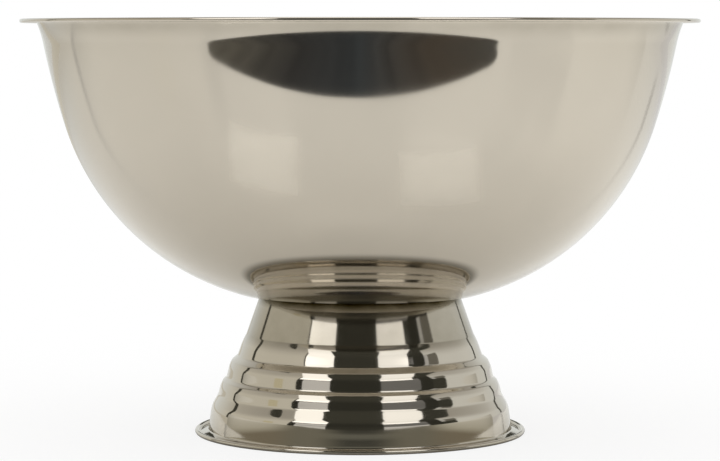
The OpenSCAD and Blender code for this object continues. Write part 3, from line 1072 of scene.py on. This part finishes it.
pen = bm.verts.new((0, 0, stud_high.z))
drawn = len(bm.verts) - 1
flange_under = stud_high.z - FLANGE
for radius, level in (
    (flange_radius - EDGE, stud_high.z),
    (flange_radius, stud_high.z - EDGE),
    (flange_radius, flange_under + EDGE),
    (flange_radius - EDGE, flange_under),
    (THREAD, flange_under),
    (CORE, thread_end - EDGE),
    (0, thread_end - EDGE),
):
    pen = run(bm, pen, Vector((radius, level)), PITCH)
bm.verts.ensure_lookup_table()
flange_line = bm.verts[drawn:] + [e for e in bm.edges if not e.link_faces]
bmesh.ops.spin(bm, geom=flange_line, axis=(0, 0, 1), angle=2 * math.pi, steps=FLANGE_STEPS, use_merge=True)
bmesh.ops.remove_doubles(bm, verts=bm.verts, dist=MERGE)
bmesh.ops.recalc_face_normals(bm, faces=bm.faces)
make_piece(bm, "stud_threaded", "stud", "stud_steel", stud_steel)

# %% [markdown]
# ## Backing washer
# The plain washer spreads the nut's pull over the thin top of the foot. It is stamped from sheet, so the
# punch rounds its edges on one side and leaves them crisper on the other. A bevel would treat both alike,
# so the outline is drawn corner by corner and turned.

# %% Backing washer
washer_low, washer_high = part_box("backing_washer")
washer_radius = washer_high.x
WASHER_HOLE = 3.4 * MM
PUNCHED = 0.3 * MM
PUNCHED_MIDDLE = 0.3 * PUNCHED
RING_STEPS = 96
OUTLINE_STEP = 2 * MM


def closed_ring(points):
    """Turn a closed outline, given by its corners in order, once round the axis."""
    outline = [Vector(point) for point in points]
    bm, pen = start_profile(outline[0])
    for point in outline[1:] + outline[:1]:
        pen = run(bm, pen, point, OUTLINE_STEP)
    turn_profile(bm, RING_STEPS)
    return bm


bm = closed_ring([
    (WASHER_HOLE, washer_low.z),
    (washer_radius - EDGE, washer_low.z),
    (washer_radius, washer_low.z + EDGE),
    (washer_radius, washer_high.z - PUNCHED),
    (washer_radius - PUNCHED_MIDDLE, washer_high.z - PUNCHED_MIDDLE),
    (washer_radius - PUNCHED, washer_high.z),
    (WASHER_HOLE + PUNCHED, washer_high.z),
    (WASHER_HOLE + PUNCHED_MIDDLE, washer_high.z - PUNCHED_MIDDLE),
    (WASHER_HOLE, washer_high.z - PUNCHED),
])
make_piece(bm, "backing_washer_stamped", "backing_washer", "washer_steel", washer_steel)

# %% [markdown]
# ## Spring washer
# The spring washer keeps the nut from working loose. It is a bar bent into one turn and cut at a slant,
# with its two ends sprung a little apart. So the bar's end is modelled first, with rounded corners and
# the slant, and is then spun not quite all the way round, rising as it goes.

# %% Spring washer
spring_low, spring_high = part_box("spring_washer")
spring_radius = spring_high.x
SLIT = 0.8 * MM
SLANT = math.radians(25)
RISE = 0.12 * MM
BAR_ROUND = 0.12
SPRING_STEPS = 90

bar_width = spring_radius - WASHER_HOLE
bar_height = (spring_high.z - spring_low.z - RISE) / math.cos(SLANT)
bar_middle = (spring_radius + WASHER_HOLE) / 2
bar_level = (spring_low.z + spring_high.z - RISE) / 2
slit_turn = SLIT / math.cos(SLANT) / bar_middle
bm = bmesh.new()
bmesh.ops.create_grid(bm, x_segments=1, y_segments=1, size=0.5)
bmesh.ops.bevel(bm, geom=bm.verts[:], offset=BAR_ROUND, segments=3, profile=0.5, affect="VERTICES",
                material=-1)
bmesh.ops.scale(bm, verts=bm.verts, vec=(bar_width, bar_height, 1))
bmesh.ops.rotate(bm, verts=bm.verts, matrix=Matrix.Rotation(math.pi / 2 - SLANT, 3, "X"))
bmesh.ops.translate(bm, verts=bm.verts, vec=(bar_middle, 0, bar_level))
bmesh.ops.rotate(bm, verts=bm.verts, matrix=Matrix.Rotation(slit_turn / 2, 3, "Z"))
bmesh.ops.spin(bm, geom=bm.verts[:] + bm.edges[:] + bm.faces[:], axis=(0, 0, 1),
               angle=2 * math.pi - slit_turn, dvec=(0, 0, RISE / SPRING_STEPS), steps=SPRING_STEPS,
               use_merge=False)
bmesh.ops.recalc_face_normals(bm, faces=bm.faces)
make_piece(bm, "spring_washer_cut", "spring_washer", "spring_steel", spring_steel)

# %% [markdown]
# ## Nut
# The nut clamps everything together. Real ones are cut from hexagon bar, and a cone then takes the
# corners off, which leaves the curved lines on their flats. A six-sided prism with bevels has no such
# lines. So the nut starts as a turned ring with the cones on it, and its six flats are cut afterwards.

# %% Nut
nut_low, nut_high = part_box("nut")
nut_corner = nut_high.x
NUT_SIDES = 6
NUT_FLATS = 10 * MM
NUT_FACE = 0.48 * NUT_FLATS
NUT_CONE = math.radians(30)
NUT_BORE = 3.05 * MM
BORE_BEVEL = 0.4 * MM

cone_drop = (nut_corner - NUT_FACE) * math.tan(NUT_CONE)
bm = closed_ring([
    (NUT_BORE, nut_low.z + BORE_BEVEL),
    (NUT_BORE + BORE_BEVEL, nut_low.z),
    (NUT_FACE, nut_low.z),
    (nut_corner, nut_low.z + cone_drop),
    (nut_corner, nut_high.z - cone_drop),
    (NUT_FACE, nut_high.z),
    (NUT_BORE + BORE_BEVEL, nut_high.z),
    (NUT_BORE, nut_high.z - BORE_BEVEL),
])
for side in range(NUT_SIDES):
    turn = math.radians(360 / NUT_SIDES * (side + 0.5))
    outward = Matrix.Rotation(turn, 3, "Z") @ Vector((1, 0, 0))
    cut_level(bm, outward * NUT_FLATS / 2, outward)
bmesh.ops.recalc_face_normals(bm, faces=bm.faces)
make_piece(bm, "nut_hexagon", "nut", "nut_steel", nut_steel)
